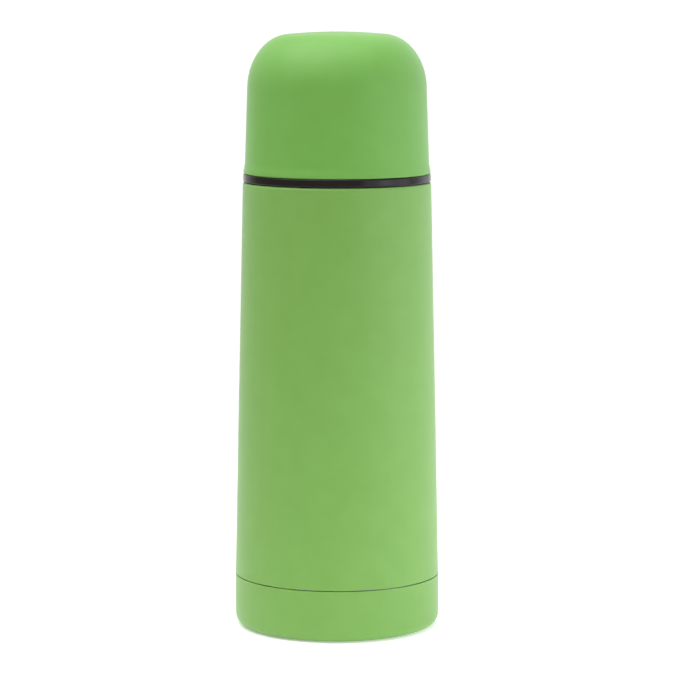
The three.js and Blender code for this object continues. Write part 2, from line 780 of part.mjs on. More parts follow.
function valvePlate() {
  const socket = STEM_RADIUS + FIT
  return turned(
    [
      [0, VALVE_TOP - VALVE_THICKNESS],
      [VALVE_RADIUS - 1, VALVE_TOP - VALVE_THICKNESS],
      [VALVE_RADIUS, VALVE_TOP - 1],
      [VALVE_RADIUS, VALVE_TOP],
      [VALVE_HUB_RADIUS, VALVE_TOP],
      [VALVE_HUB_RADIUS, VALVE_TOP + VALVE_HUB_HEIGHT],
      [socket, VALVE_TOP + VALVE_HUB_HEIGHT],
      [socket, STEM_BOTTOM - FIT],
      [0, STEM_BOTTOM - FIT],
    ],
    FINE_SIDES,
  )
}

function valveSeal() {
  const inner = PORT_RADIUS - 0.9
  const outer = VALVE_RADIUS - FIT
  const bottom = VALVE_TOP + 0.15
  const top = PLUG_BOTTOM - FIT
  return turned(
    [
      [inner, bottom],
      [outer, bottom],
      [outer, top],
      [inner, top],
    ],
    FINE_SIDES,
  )
}

const BUTTON_SPRING_RADIUS = 5
const BUTTON_SPRING_WIRE = 0.45

function buttonSpring() {
  const bottom = GUIDE_TOP + 0.3
  const length = SPRING_FLANGE - 0.3 - bottom
  const spring = coilSpring(BUTTON_SPRING_RADIUS, BUTTON_SPRING_WIRE, length, 6, 8, 5)
  return spring.translate(0, 0, bottom)
}

// The left tab: a finger pad, a sliding plate and an arm that passes the stem and hooks its far side.
function releaseTab() {
  const armOuter = 5.8
  const armInner = 4
  const plateEnd = -10
  const plateSide = -1.4
  const hookFace = LATCH_RADIUS + FIT
  const hookBack = hookFace + 2
  const hookTip = -3
  const outline = [
    [-CAP_RADIUS, plateSide],
    [plateEnd, plateSide],
    [plateEnd, armInner],
    [hookFace, armInner],
    [hookFace, hookTip],
    [hookBack, hookTip],
    [hookBack, armOuter],
    [-CAP_RADIUS, armOuter],
  ]
  const shape = new THREE.Shape(outline.map(([x, y]) => new THREE.Vector2(x, y)))
  const plate = new THREE.ExtrudeGeometry(shape, { depth: TAB_THICKNESS, bevelEnabled: false })
  plate.translate(0, 0, TAB_LEVEL)
  const padGap = 0.4
  const padHeight = WINDOW_TOP - WINDOW_BOTTOM - 2 * padGap
  const padMiddle = (WINDOW_TOP + WINDOW_BOTTOM) / 2
  const slab = block(4, WINDOW_WIDTH - 2 * padGap, padHeight, -TAB_REACH, 0, padMiddle)
  const reach = new THREE.CylinderGeometry(TAB_REACH, TAB_REACH, padHeight + 2, 2 * ROUND_SIDES)
  const pad = toSolid(slab).intersect(toSolid(reach.rotateX(Math.PI / 2).translate(0, 0, padMiddle)))
  return join(toGeometry(pad), plate)
}

// The left tab's spring, lying between the post and the back of the finger pad.
function tabSpring() {
  const padBack = TAB_REACH - 2
  const length = padBack - SPRING_POST_X - 2 * FIT
  const spring = coilSpring(TAB_SPRING_RADIUS, TAB_SPRING_WIRE, length, 4, 8, 4)
  return spring.rotateY(-Math.PI / 2).translate(-SPRING_POST_X - FIT, -TAB_SPRING_Y, TAB_SPRING_LEVEL)
}

// ---- the assembly ----------------------------------------------------------------------------

function piece(name, geometry, look) {
  const mesh = new THREE.Mesh(geometry, look)
  mesh.name = name
  return mesh
}

// A piece made for the left side, turned half round the flask's axis.
function opposite(mesh) {
  mesh.rotation.z = Math.PI
  return mesh
}

const flask = new THREE.Group()
flask.add(
  piece('base_cover', baseCover(), greenPaint),
  piece('outer_shell', outerShell(), greenPaint),
  piece('inner_liner', innerLiner(), steel),
  piece('liner_bottom', linerBottom(), steel),
  piece('reflective_foil', reflectiveFoil(), foilMetal),
  piece('middle_bottom', middleBottom(), steel),
  piece('vacuum_plug', vacuumPlug(), steel),
  piece('getter', getter(), getterMetal),
  piece('getter_clip', getterClip(), steel),
  piece('neck_collar', neckCollar(), blackPlastic),
)

const stopper = new THREE.Group()
stopper.add(
  piece('stopper_gasket', stopperGasket(), silicone),
  piece('stopper_body', stopperBody(), blackPlastic),
  piece('stopper_foam', stopperFoam(), foam),
  piece('stopper_cap', stopperCap(), blackPlastic),
  piece('stem_guide', stemGuide(), greyPlastic),
  piece('push_button', pushButton(), greyPlastic),
  piece('button_o_ring', buttonRing(), silicone),
  piece('button_spring', buttonSpring(), steel),
  piece('valve_stem', valveStem(), greyPlastic),
  piece('valve_plate', valvePlate(), greyPlastic),
  piece('valve_seal', valveSeal(), silicone),
  piece('release_tab_left', releaseTab(), greyPlastic),
  opposite(piece('release_tab_right', releaseTab(), greyPlastic)),
  piece('tab_spring_left', tabSpring(), steel),
  opposite(piece('tab_spring_right', tabSpring(), steel)),
)

const cup = new THREE.Group()
cup.add(
  piece('cup_seal_ring', cupSealRing(), silicone),
  piece('cup_liner', cupLiner(), blackPlastic),
  piece('cup_shell', cupShell(), greenPaint),
)

const vacuumFlask = new THREE.Group()
vacuumFlask.add(flask, stopper, cup)

export default vacuumFlask
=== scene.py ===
"""Vacuum flask with a screw-on cup and a push-button stopper: the looks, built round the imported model.

Metres, +Z up, the row's own frame. Each CAD node is replaced by one finer piece with a procedural
material. A plainly turned node lends its own outline, and the others are built from their box and the
sizes named here.
"""
import json
import math

import bmesh
import bpy
from mathutils import Matrix, Vector


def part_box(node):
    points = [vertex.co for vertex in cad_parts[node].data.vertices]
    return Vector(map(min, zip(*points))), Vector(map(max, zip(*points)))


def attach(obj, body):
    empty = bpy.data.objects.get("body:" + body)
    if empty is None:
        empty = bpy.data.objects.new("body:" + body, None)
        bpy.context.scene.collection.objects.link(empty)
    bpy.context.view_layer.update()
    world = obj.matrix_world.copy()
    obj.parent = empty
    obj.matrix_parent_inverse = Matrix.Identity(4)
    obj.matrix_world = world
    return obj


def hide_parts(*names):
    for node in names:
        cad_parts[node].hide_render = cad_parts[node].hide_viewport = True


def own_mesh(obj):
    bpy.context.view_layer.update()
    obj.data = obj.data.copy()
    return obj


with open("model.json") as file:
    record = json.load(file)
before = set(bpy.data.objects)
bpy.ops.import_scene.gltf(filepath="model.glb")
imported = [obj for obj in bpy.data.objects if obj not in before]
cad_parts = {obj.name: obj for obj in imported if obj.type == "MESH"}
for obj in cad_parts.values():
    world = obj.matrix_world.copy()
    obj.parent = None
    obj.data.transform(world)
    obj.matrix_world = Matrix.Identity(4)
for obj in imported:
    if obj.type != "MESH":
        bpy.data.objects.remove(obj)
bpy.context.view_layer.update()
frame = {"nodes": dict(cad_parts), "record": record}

MM = 0.001
TURN = 2 * math.pi
GENTLE = math.radians(140)  # a corner this open is part of a curve, not an edge
STRAIGHT = math.radians(178)  # a corner this open is left alone

# ---- what the frame says ---------------------------------------------------------------------

RECORD = frame["record"]
NODE_BODY = {node: body for body, nodes in RECORD["behaviour"]["bodies"].items() for node in nodes}


def low(node):
    """Lowest height of a CAD node."""
    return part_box(node)[0].z


def high(node):
    """Highest height of a CAD node."""
    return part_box(node)[1].z


def widest(node):
    """Largest radius of a round CAD node."""
    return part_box(node)[1].x


# ---- outlines --------------------------------------------------------------------------------

def arc(centre, radii, start, end, steps):
    """Points on an elliptical arc between two angles in degrees, both ends included."""
    points = []
    for i in range(steps + 1):
        angle = math.radians(start + (end - start) * i / steps)
        points.append((centre[0] + radii[0] * math.cos(angle), centre[1] + radii[1] * math.sin(angle)))
    return points


def rounded(outline, radius, closed, steps=4):
    """The outline with each sharp corner turned into a small arc, and a point close to each arc."""
    result = []
    count = len(outline)
    for i, point in enumerate(outline):
        here = Vector(point)
        if not closed and i in (0, count - 1):
            result.append(here)
            continue
        before = Vector(outline[i - 1]) - here
        after = Vector(outline[(i + 1) % count]) - here
        corner = before.angle(after, math.pi)
        if corner > STRAIGHT:
            result.append(here)
            continue
        shorter = min(before.length, after.length)
        reach = 0.48 * shorter if corner > GENTLE else min(radius, 0.42 * shorter)
        first = here + before.normalized() * reach
        last = here + after.normalized() * reach
        margin = min(reach, 0.1 * MM)
        if before.length > 2.5 * (reach + margin):
            result.append(first + before.normalized() * margin)
        for step in range(steps + 1):
            share = step / steps
            inward = first.lerp(here, share).lerp(here.lerp(last, share), share)
            result.append(inward)
        if after.length > 2.5 * (reach + margin):
            result.append(last + after.normalized() * margin)
    return [(p[0], p[1]) for p in result]


def outline_of(node):
    """A turned CAD node's outline, and whether it is closed.

    The outline is (radius, height) pairs in order round it, or from axis to axis if the node is solid.
    """
    mesh = frame["nodes"][node].data

    def key(vertex):
        return (round(vertex.co.x, 6), round(vertex.co.z, 6))

    def on_plane(vertex):
        return abs(vertex.co.y) < 2e-6 and vertex.co.x > -2e-6

    links = {}
    for edge in mesh.edges:
        a, b = (mesh.vertices[i] for i in edge.vertices)
        if on_plane(a) and on_plane(b) and key(a) != key(b):
            links.setdefault(key(a), set()).add(key(b))
            links.setdefault(key(b), set()).add(key(a))
    axis = sorted(k for k in links if k[0] < 1e-6)
    for first in axis:
        links[first] = {k for k in links[first] if k[0] > 1e-6}
    start = axis[0] if axis else min(links)
    path = [start]
    previous, current = None, start
    while True:
        onward = [k for k in sorted(links[current]) if k != previous and k not in path]
        if not onward:
            break
        previous, current = current, onward[0]
        path.append(current)
    return [(max(radius, 0.0), height) for radius, height in path], not axis


# ---- mesh builders ---------------------------------------------------------------------------

def new_object(name, mesh_data):
    """A smooth-shaded object from a bmesh, with all its faces pointing out."""
    bmesh.ops.remove_doubles(mesh_data, verts=mesh_data.verts, dist=1e-7)
    bmesh.ops.recalc_face_normals(mesh_data, faces=mesh_data.faces)
    mesh = bpy.data.meshes.new(name)
    mesh_data.to_mesh(mesh)
    mesh_data.free()
    for polygon in mesh.polygons:
        polygon.use_smooth = True
    made = bpy.data.objects.new(name, mesh)
    bpy.context.scene.collection.objects.link(made)
    return made


def revolve(name, outline, closed, segments=160, shape=None):
    """Turns an outline of (radius, height) pairs about Z. An open outline starts and ends on the axis.

    shape(angle, radius, height) may move a point in or out, for threads and grips.
    """
    made = bmesh.new()
    rings = []
    for radius, height in outline:
        if radius < 1e-6:
            rings.append([made.verts.new((0, 0, height))] * segments)
            continue
        ring = []
        for column in range(segments):
            angle = TURN * column / segments
            r, z = (radius, height) if shape is None else shape(angle, radius, height)
            ring.append(made.verts.new((r * math.cos(angle), r * math.sin(angle), z)))
        rings.append(ring)
    rows = len(rings) if closed else len(rings) - 1
    for row in range(rows):
        lower, upper = rings[row], rings[(row + 1) % len(rings)]
        for column in range(segments):
            following = (column + 1) % segments
            corners = []
            for vertex in (lower[column], lower[following], upper[following], upper[column]):
                if vertex not in corners:
                    corners.append(vertex)
            if len(corners) > 2:
                made.faces.new(corners)
    return new_object(name, made)


def sweep(name, points, radius, sides=14):
    """A round wire along a list of points, with both ends closed."""
    made = bmesh.new()
    rings = []
    for i, point in enumerate(points):
        ahead = Vector(points[min(i + 1, len(points) - 1)])
        behind = Vector(points[max(i - 1, 0)])
        along = (ahead - behind).normalized()
        outward = Vector((point[0], point[1], 0)).normalized()
        across = along.cross(outward).normalized()
        outward = across.cross(along)
        ring = []
        for side in range(sides):
            angle = TURN * side / sides
            offset = (outward * math.cos(angle) + across * math.sin(angle)) * radius
            ring.append(made.verts.new(Vector(point) + offset))
        rings.append(ring)
    for lower, upper in zip(rings, rings[1:]):
        for side in range(sides):
            following = (side + 1) % sides
            made.faces.new((lower[side], lower[following], upper[following], upper[side]))
    made.faces.new(rings[0])
    made.faces.new(rings[-1])
    return new_object(name, made)


def coil(name, radius, wire, bottom, top, turns, end_turns=0.8, steps_per_turn=56):
    """A compression spring standing on Z with closed ends, its length measured over the wire."""
    points = []
    steps = int(turns * steps_per_turn)
    length = top - bottom - 2 * wire
    dead = 2 * wire * 1.05
    for i in range(steps + 1):
        turned = turns * i / steps
        if turned < end_turns:
            height = dead * turned / end_turns
        elif turned > turns - end_turns:
            height = length - dead * (turns - turned) / end_turns
        else:
            share = (turned - end_turns) / (turns - 2 * end_turns)
            height = dead + (length - 2 * dead) * share
        angle = TURN * turned
        points.append((radius * math.cos(angle), radius * math.sin(angle), bottom + wire + height))
    return sweep(name, points, wire)


def refined(name, node, width):
    """A copy of a CAD node's mesh with flat faces joined and its edges rounded."""
    made = bmesh.new()
    made.from_mesh(frame["nodes"][node].data)
    bmesh.ops.remove_doubles(made, verts=made.verts, dist=1e-6)
    bmesh.ops.dissolve_limit(made, angle_limit=math.radians(1.5), verts=made.verts, edges=made.edges)
    piece = new_object(name, made)
    bevel = piece.modifiers.new("edges", "BEVEL")
    bevel.width = width
    bevel.segments = 3
    bevel.limit_method = "ANGLE"
    bevel.angle_limit = math.radians(35)
    bevel.harden_normals = True
    return piece


def place(piece, node, material, *more_nodes):
    """The piece stands for its node: same body, its own material."""
    piece.data.materials.clear()
    piece.data.materials.append(material)
    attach(piece, NODE_BODY[node])
    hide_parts(node, *more_nodes)
    return piece


def bare_inside(piece, middle, neck=0.0, spigot=-1.0):
    """Bare steel where paint doesn't reach: on the faces that look at a middle height on the axis.

    Faces within the neck's radius or below the top of the spigot are bare too, where there are any.
    """
    piece.data.materials.append(STEEL)
    for polygon in piece.data.polygons:
        looks_in = polygon.normal.dot(polygon.center - Vector((0, 0, middle))) < -1e-6
        if looks_in or polygon.center.xy.length < neck or polygon.center.z < spigot:
            polygon.material_index = 1
    return piece


# ---- materials -------------------------------------------------------------------------------

NOISE_RANGE = (0.3, 0.7)  # nearly all values of a noise pattern lie in here


class Look:
    """A node material under construction."""

    def __init__(self, name, **sockets):
        self.material = bpy.data.materials.new(name)
        self.material.use_nodes = True
        self.nodes = self.material.node_tree.nodes
        self.links = self.material.node_tree.links
        self.shader = self.nodes["Principled BSDF"]
        for socket, value in sockets.items():
            self.shader.inputs[socket.replace("_", " ")].default_value = value
        self.position = self.nodes.new("ShaderNodeTexCoord").outputs["Object"]

    def stretched(self, scale):
        """Object coordinates scaled per axis."""
        mapping = self.nodes.new("ShaderNodeMapping")
        mapping.inputs["Scale"].default_value = scale
        self.links.new(self.position, mapping.inputs["Vector"])
        return mapping.outputs["Vector"]

    def noise(self, scale, detail=3.0, vector=None, roughness=0.5):
        """A noise pattern with this many cells to the metre."""
        noise = self.nodes.new("ShaderNodeTexNoise")
        noise.inputs["Scale"].default_value = scale
        noise.inputs["Detail"].default_value = detail
        noise.inputs["Roughness"].default_value = roughness
        self.links.new(vector or self.position, noise.inputs["Vector"])
        return noise.outputs["Fac"]

    def cells(self, scale, feature="F1"):
        """A cell pattern with this many cells to the metre."""
        voronoi = self.nodes.new("ShaderNodeTexVoronoi")
        voronoi.feature = feature
        voronoi.inputs["Scale"].default_value = scale
        self.links.new(self.position, voronoi.inputs["Vector"])
        return voronoi.outputs["Distance"]

    def between(self, value, out_low, out_high, in_low=0.0, in_high=1.0):
        """A value mapped from one range to another, held within it."""
        ramp = self.nodes.new("ShaderNodeMapRange")
        ramp.inputs["From Min"].default_value = in_low
        ramp.inputs["From Max"].default_value = in_high
        ramp.inputs["To Min"].default_value = out_low
        ramp.inputs["To Max"].default_value = out_high
        self.links.new(value, ramp.inputs["Value"])
        return ramp.outputs["Result"]

    def spread(self, noise, out_low=0.0, out_high=1.0):
        """A noise pattern with its usual values spread over a range."""
        return self.between(noise, out_low, out_high, *NOISE_RANGE)

    def colours(self, value, first, second):
        """A colour that goes from the first to the second as the value goes from 0 to 1."""
        mix = self.nodes.new("ShaderNodeMix")
        mix.data_type = "RGBA"
        mix.inputs[6].default_value = (*first, 1)
        mix.inputs[7].default_value = (*second, 1)
        self.links.new(value, mix.inputs[0])
        return mix.outputs[2]

    def set(self, socket, value):
        """Joins an output to a socket of the shader."""
        self.links.new(value, self.shader.inputs[socket])
        return self

    def bump(self, height, distance, strength=1.0):
        """Adds relief on top of what there is already; distance is its full height in metres."""
        bump = self.nodes.new("ShaderNodeBump")
        bump.inputs["Distance"].default_value = distance
        bump.inputs["Strength"].default_value = strength
        self.links.new(height, bump.inputs["Height"])
        existing = self.shader.inputs["Normal"]
        if existing.is_linked:
            self.links.new(existing.links[0].from_socket, bump.inputs["Normal"])
        self.links.new(bump.outputs["Normal"], existing)
        return self


def soft_touch_paint(name, dark, light):
    """Matte, slightly rubbery lacquer over steel: faint orange peel, fine grain, a soft pale sheen."""
    look = Look(name, Sheen_Weight=0.22, Sheen_Roughness=0.45, IOR=1.45)
    look.shader.inputs["Sheen Tint"].default_value = (0.92, 1.0, 0.9, 1)
    mottle = look.noise(140, 4)
    look.set("Base Color", look.colours(look.spread(mottle), dark, light))
    grain = look.noise(5200, 2)
    look.set("Roughness", look.spread(grain, 0.5, 0.6))
    look.bump(look.noise(520, 2), 0.02 * MM, 0.5)
    look.bump(grain, 0.012 * MM, 0.6)
    return look.material


def moulded_plastic(name, dark, light, roughness, specular=0.5):
    """Moulded polypropylene: a fine spark-eroded grain and faint flow marks."""
    look = Look(name, IOR=1.49, Specular_IOR_Level=specular)
    flow = look.noise(90, 3, look.stretched((1, 1, 2.5)))
    look.set("Base Color", look.colours(look.spread(flow), dark, light))
    grain = look.noise(4200, 3)
    look.set("Roughness", look.spread(grain, roughness - 0.06, roughness + 0.08))
    look.bump(grain, 0.015 * MM, 0.7)
    return look.material


STEEL_COLOURS = (0.6, 0.6, 0.6), (0.72, 0.72, 0.71)
MARKS = 5200  # turning marks to the metre


def drawn_steel(name, roughness):
    """Stainless steel with fine turning marks round its axis and faint cloudy polish."""
    look = Look(name, Metallic=1.0)
    lines = look.noise(1, 4, look.stretched((60, 60, MARKS)), 0.6)
    cloud = look.noise(120, 3)
    look.set("Base Color", look.colours(look.spread(cloud), *STEEL_COLOURS))
    look.set("Roughness", look.spread(lines, roughness - 0.06, roughness + 0.12))
    look.bump(lines, 0.006 * MM, 0.5)
    return look.material


def spring_wire():
    """Hard drawn wire with fine scratches along it."""
    look = Look("spring_wire", Metallic=1.0)
    lines = look.noise(2600, 4)
    look.set("Base Color", look.colours(lines, (0.34, 0.34, 0.35), (0.55, 0.55, 0.57)))
    look.set("Roughness", look.spread(lines, 0.22, 0.4))
    return look.material


SILICONE_COLOURS = (0.68, 0.66, 0.61), (0.79, 0.78, 0.74)


def soft_silicone():
    """Milky food-grade silicone with a dusty surface."""
    look = Look("milky_silicone", IOR=1.41, Subsurface_Weight=0.35, Subsurface_Scale=0.0015)
    look.shader.inputs["Subsurface Radius"].default_value = (1.0, 0.85, 0.7)
    dust = look.noise(900, 4)
    look.set("Base Color", look.colours(look.spread(dust), *SILICONE_COLOURS))
    look.set("Roughness", look.spread(dust, 0.38, 0.55))
    look.bump(look.noise(3600, 2), 0.008 * MM, 0.6)
    return look.material


FOAM_COLOURS = (0.86, 0.84, 0.77), (0.72, 0.69, 0.6)  # inside a cell and at its walls


def closed_cell_foam():
    """Off-white insulation foam whose skin shows small closed cells."""
    look = Look("closed_cell_foam")
    cells = look.cells(1500)
    look.set("Base Color", look.colours(look.between(cells, 0, 1, 0.1, 0.7), *FOAM_COLOURS))
    look.set("Roughness", look.between(look.noise(700, 3), 0.82, 0.95))
    look.bump(cells, 0.12 * MM, 0.8)
    return look.material


def crinkled_foil():
    """Bright foil wrapped by hand: creases and small dents."""
    look = Look("crinkled_foil", Metallic=1.0)
    creases = look.cells(170, "DISTANCE_TO_EDGE")
    look.set("Base Color", look.colours(look.noise(300, 3), (0.72, 0.72, 0.74), (0.87, 0.87, 0.88)))
    look.set("Roughness", look.between(look.noise(800, 3), 0.14, 0.32))
    look.bump(look.between(creases, 0, 1, 0, 0.08), 0.15 * MM, 0.7)
    look.bump(look.noise(350, 4), 0.1 * MM, 0.6)
    return look.material


def sintered_metal():
    """Dark pressed powder of the getter pill."""
    look = Look("sintered_getter", Metallic=0.7)
    grit = look.noise(4200, 5, roughness=0.7)
    look.set("Base Color", look.colours(grit, (0.09, 0.09, 0.095), (0.2, 0.2, 0.205)))
    look.set("Roughness", look.spread(grit, 0.6, 0.85))
    look.bump(grit, 0.05 * MM, 0.9)
    return look.material


GREEN = soft_touch_paint("soft_touch_green", (0.178, 0.386, 0.0705), (0.189, 0.404, 0.0775))
CUP_GREEN = soft_touch_paint("soft_touch_cup_green", (0.155, 0.4, 0.0615), (0.164, 0.418, 0.068))
BLACK = moulded_plastic("black_polypropylene", (0.018, 0.016, 0.0145), (0.024, 0.0215, 0.0195), 0.34)
GLOSSY_BLACK = moulded_plastic(
    "glossy_black_collar", (0.017, 0.0142, 0.0125), (0.021, 0.018, 0.016), 0.2, specular=0.2
)
GREY = moulded_plastic("grey_polypropylene", (0.062, 0.065, 0.064), (0.075, 0.079, 0.077), 0.4)
STEEL = drawn_steel("drawn_stainless", 0.24)
WIRE = spring_wire()
SILICONE = soft_silicone()
FOAM = closed_cell_foam()
FOIL = crinkled_foil()
GETTER = sintered_metal()

# ---- threads ---------------------------------------------------------------------------------

THREAD_LEAD = 8 * MM
THREAD_STARTS = 2
THREAD_TURNS = 0.75
THREAD_FADE = 0.1  # part of a turn over which each end of a ridge fades in
RIDGE_HALF_FOOT = 0.78 * MM
RIDGE_HALF_CREST = 0.36 * MM
OUTSIDE_ANGLE = 0.0  # where the first ridge of an outside thread starts
INSIDE_ANGLE = -TURN / 4  # an inside thread's ridges start between those of its outside thread
CUP_THREAD_START = 155.2 * MM
STOPPER_THREAD_START = 155.4 * MM
LONG_WALL = 3 * MM  # a straight run of wall longer than this carries the thread


def thread_rise(angle, height, start_height, start_angle):
    """How far a thread's ridge stands out at a point of its wall, from 0 at the wall to 1 at the crest."""
    best = 0.0
    for start in range(THREAD_STARTS):
        begin = start_angle + TURN * start / THREAD_STARTS
        along = ((angle - begin) % TURN) / TURN
        if along > THREAD_TURNS:
            continue
        offset = abs(height - start_height - along * THREAD_LEAD)
        flank = (RIDGE_HALF_FOOT - offset) / (RIDGE_HALF_FOOT - RIDGE_HALF_CREST)
        flank = min(1.0, max(0.0, flank))
        ends = min(1.0, along / THREAD_FADE, (THREAD_TURNS - along) / THREAD_FADE)
        best = max(best, flank * flank * (3 - 2 * flank) * ends)
    return best


def dense(bottom, top, radius, step=0.14 * MM):
    """Closely spaced points up a straight wall, for a thread to be raised on."""
    count = max(2, round(abs(top - bottom) / step))
    return [(radius, bottom + (top - bottom) * i / count) for i in range(count + 1)]


# ---- the flask -------------------------------------------------------------------------------

BASE_RADIUS = widest("base_cover")
SEAM_TOP = high("base_cover")
BASE_CORNER = 3.75 * MM
SHEET = 0.6 * MM
FOOT_RADIUS = 23.6 * MM
FOOT_RECESS = 1 * MM
FOOT_SLOPE = 0.3 * MM  # the foot's inner face starts this much further out
FOOT_FLAT = 8 * MM  # radius of the flat middle of the recess
COLLAR_EDGE = 0.45 * MM
NECK_BARE_RADIUS = 27 * MM  # no paint on the shell within this radius
SEAM_BARE = 0.2 * MM  # nor below this height above the base cover's edge


def millimetres(*points):
    """Outline points given in millimetres, in metres."""
    return [(radius * MM, height * MM) for radius, height in points]


def filled(outline, closed, step=4 * MM):
    """The outline with long straight runs divided, so that the faces stay well shaped."""
    result = []
    count = len(outline)
    for i, point in enumerate(outline):
        result.append(point)
        if not closed and i == count - 1:
            break
        following = outline[(i + 1) % count]
        parts = int(math.dist(point, following) / step)
        for k in range(1, parts + 1):
            share = k / (parts + 1)
            radius = point[0] + (following[0] - point[0]) * share
            height = point[1] + (following[1] - point[1]) * share
            result.append((radius, height))
    return result


def base_cover():
    """The drawn cup that closes the foot, with its raised standing ring."""
    centre = BASE_RADIUS - BASE_CORNER
    inner = BASE_CORNER - SHEET
    outline = [
        (0, FOOT_RECESS),
        (FOOT_FLAT, FOOT_RECESS),
        (FOOT_RADIUS - FOOT_RECESS, FOOT_RECESS),
        (FOOT_RADIUS, 0),
        *arc((centre, BASE_CORNER), (BASE_CORNER, BASE_CORNER), -90, 0, 20),
        (BASE_RADIUS, SEAM_TOP),
        (BASE_RADIUS - SHEET, SEAM_TOP),
        *arc((centre, BASE_CORNER), (inner, inner), 0, -90, 14),
        (FOOT_RADIUS + FOOT_SLOPE, SHEET),
        (FOOT_RADIUS + FOOT_SLOPE - FOOT_RECESS, FOOT_RECESS + SHEET),
        (0, FOOT_RECESS + SHEET),
    ]
    smooth = filled(rounded(outline, 0.1 * MM, closed=False), False)
    cover = place(revolve("base_cover_fine", smooth, False, 256), "base_cover", GREEN)
    return bare_inside(cover, SEAM_TOP)


def turned_copy(node, material, edge=0.15 * MM, segments=128, shape=None):
    """A fine version of a plainly turned node, on the node's own outline."""
    outline, closed = outline_of(node)
    smooth = filled(rounded(outline, edge, closed), closed)
    return place(revolve(node + "_fine", smooth, closed, segments, shape), node, material)


def foil_crinkle(angle, radius, height):
    """Small hand-made folds in the foil, inwards only, so that it stays inside its own thickness."""
    fold = math.sin(7 * angle + 90 * height) * math.sin(11 * angle - 160 * height + 1.3)
    return radius - 0.05 * MM * (1 + fold), height


def threaded(node, material, wall, crest, start_height, start_angle, before, after,
             closed=True, edge=0.2 * MM):
    """A turned piece with a thread: its outline runs along before, the threaded wall, then after."""
    wall_low, wall_high = sorted((before[-1][1], after[0][1]))

    def shape(angle, radius, height):
        if abs(radius - wall) > 1e-6 or not wall_low < height < wall_high:
            return radius, height
        rise = thread_rise(angle, height, start_height, start_angle)
        return radius + (crest - wall) * rise, height

    outline = rounded(before + after, edge, closed)
    rows = []
    for i, point in enumerate(outline):
        rows.append(point)
        following = outline[(i + 1) % len(outline)]
        on_wall = abs(point[0] - wall) < 1e-6 and abs(following[0] - wall) < 1e-6
        if on_wall and abs(point[1] - following[1]) > LONG_WALL:
            rows += dense(point[1], following[1], wall)[1:-1]
    return place(revolve(node + "_fine", filled(rows, closed), closed, 256, shape), node, material)


def neck_collar():
    """The black ring under the cup with the cup's outside thread."""
    low_face, high_face, top = low("neck_collar"), 152.8 * MM, high("neck_collar")
    outer, sleeve, bore = widest("neck_collar"), 27 * MM, 25.7 * MM
    return threaded(
        "neck_collar", GLOSSY_BLACK, sleeve, 28.2 * MM, CUP_THREAD_START, OUTSIDE_ANGLE,
        [
            (bore, top),
            (bore, low_face),
            *arc((outer - COLLAR_EDGE, low_face + COLLAR_EDGE), (COLLAR_EDGE, COLLAR_EDGE), -90, 0, 8),
            *arc((outer - COLLAR_EDGE, high_face - COLLAR_EDGE), (COLLAR_EDGE, COLLAR_EDGE), 0, 90, 8),
            (sleeve, high_face),
        ],
        [(sleeve, top)],
    )


def inner_liner():
    """The drawn inner bottle with its shoulder, sealing ledge, neck thread and turned lip."""
    outer = widest("inner_liner")
    bottom, rim = low("inner_liner"), high("inner_liner")
    wall, bevel = 0.5 * MM, 0.3 * MM
    bore, throat, ledge = 23.2 * MM, 20.9 * MM, 152.3 * MM
    lip, lip_foot = 26 * MM, rim - 0.7 * MM
    shoulder, run, rise = 141 * MM, 7.167 * MM, 6 * MM
    flare = 17.5 * MM
    return threaded(
        "inner_liner", STEEL, bore, 22.2 * MM, STOPPER_THREAD_START, INSIDE_ANGLE,
        [
            (bore + bevel, rim),
            (lip, rim),
            (lip, lip_foot),
            (bore + SHEET, lip_foot),
            (bore + SHEET, ledge),
            (bore, ledge - wall),
            (throat + wall, ledge - wall),
            *arc((throat + wall, shoulder), (run, rise), 90, 0, 20),
            (outer, flare),
            (outer, bottom),
            (outer - wall, bottom),
            (outer - wall, flare),
            *arc((throat, shoulder), (run, rise - wall), 0, 90, 20),
            (throat, ledge),
            (bore - wall, ledge),
            (bore, ledge + wall),
        ],
        [(bore, rim - bevel)],
    )


base_cover()
neck_collar()
inner_liner()
body = turned_copy("outer_shell", GREEN, edge=0.1 * MM, segments=256)
bare_inside(body, 0.5 * high("outer_shell"), neck=NECK_BARE_RADIUS, spigot=SEAM_TOP + SEAM_BARE)
turned_copy("liner_bottom", STEEL)
turned_copy("middle_bottom", STEEL)
turned_copy("vacuum_plug", STEEL, segments=48)
turned_copy("reflective_foil", FOIL, edge=0.05 * MM, segments=220, shape=foil_crinkle)


def getter():
    """The pressed getter pill, dished on both faces."""
    corner_low, corner_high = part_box("getter")
    middle = (corner_low + corner_high) / 2
    radius = (corner_high.x - corner_low.x) / 2
    rim, dish, slope = 0.8 * MM, 0.12 * MM, 0.2 * MM
    outline = [
        (0, corner_low.z + dish),
        (radius - rim - slope, corner_low.z + dish),
        (radius - rim, corner_low.z),
        (radius, corner_low.z),
        (radius, corner_high.z),
        (radius - rim, corner_high.z),
        (radius - rim - slope, corner_high.z - dish),
        (0, corner_high.z - dish),
    ]
    pill = revolve("getter_fine", rounded(outline, 0.2 * MM, closed=False), False, 64)
    pill.data.transform(Matrix.Translation((middle.x, middle.y, 0)))
    return place(pill, "getter", GETTER)


getter()
place(refined("getter_clip_fine", "getter_clip", 0.12 * MM), "getter_clip", STEEL)

# ---- the cup ---------------------------------------------------------------------------------

